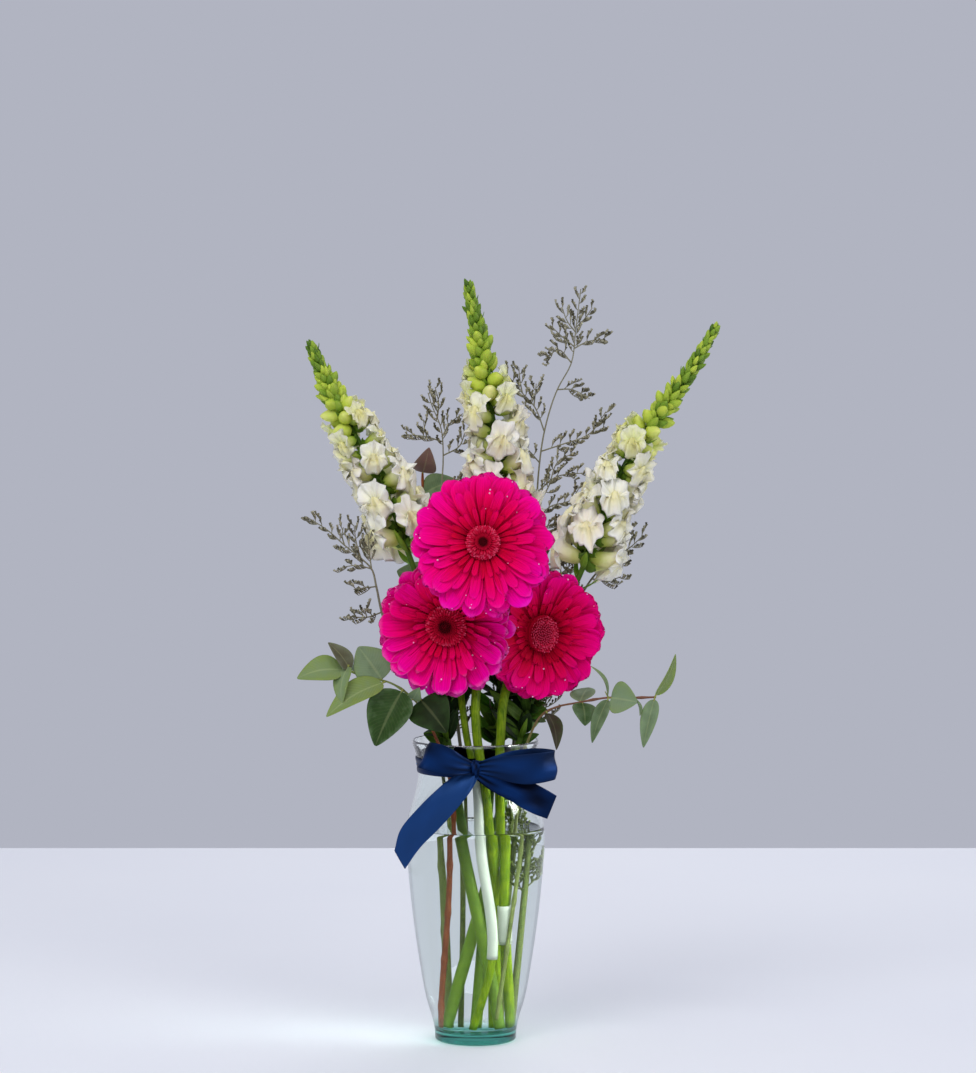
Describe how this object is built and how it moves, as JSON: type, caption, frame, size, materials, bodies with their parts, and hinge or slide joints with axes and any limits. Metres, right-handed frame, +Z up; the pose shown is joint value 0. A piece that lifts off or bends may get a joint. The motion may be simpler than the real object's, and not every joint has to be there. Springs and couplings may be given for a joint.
{
  "type": "gerberas in a vase",
  "caption": "Cut-flower bunch of pink gerberas with white snapdragons, sea lavender and eucalyptus in a glass vase of water, a satin bow tied round its neck.",
  "frame": {"origin": "middle of the vase's flat underside", "axes": "+Z up along the vase's axis; the flower heads and the bow face -Y"},
  "size_m": [0.3571, 0.173, 0.6448],
  "materials": {
    "glass": "clear pressed glass, pale green where it is thick",
    "water": "still clear water",
    "ribbon": "satin, with a soft sheen along its folds",
    "petal": "matte and velvety",
    "disc": "matte, tightly packed florets",
    "stem": "soft green stem, satin",
    "straw": "thin translucent white tube",
    "spike": "soft green stem, buds and leaves, matte",
    "floret": "matte, creamy white",
    "twig": "dry and matte",
    "leaf": "waxy, matte"
  },
  "bodies": {
    "root": {"gerbera_1_petals": "petal", "gerbera_1_disc": "disc", "gerbera_1_stem": "stem", "snapdragon_1_stem": "spike", "snapdragon_1_florets": "floret", "gerbera_2_petals": "petal", "gerbera_2_disc": "disc", "gerbera_2_stem": "stem", "snapdragon_2_stem": "spike", "snapdragon_2_florets": "floret", "gerbera_3_petals": "petal", "gerbera_3_disc": "disc", "gerbera_3_stem": "stem", "snapdragon_3_stem": "spike", "snapdragon_3_florets": "floret", "gerbera_2_straw": "straw", "gerbera_3_straw": "straw", "limonium_1": "twig", "limonium_2": "twig", "limonium_3": "twig", "limonium_4": "twig", "eucalyptus_left": "leaf", "eucalyptus_right": "leaf", "eucalyptus_back": "leaf", "ribbon_bow": "ribbon", "water": "water", "vase": "glass"}
  },
  "joints": []
}
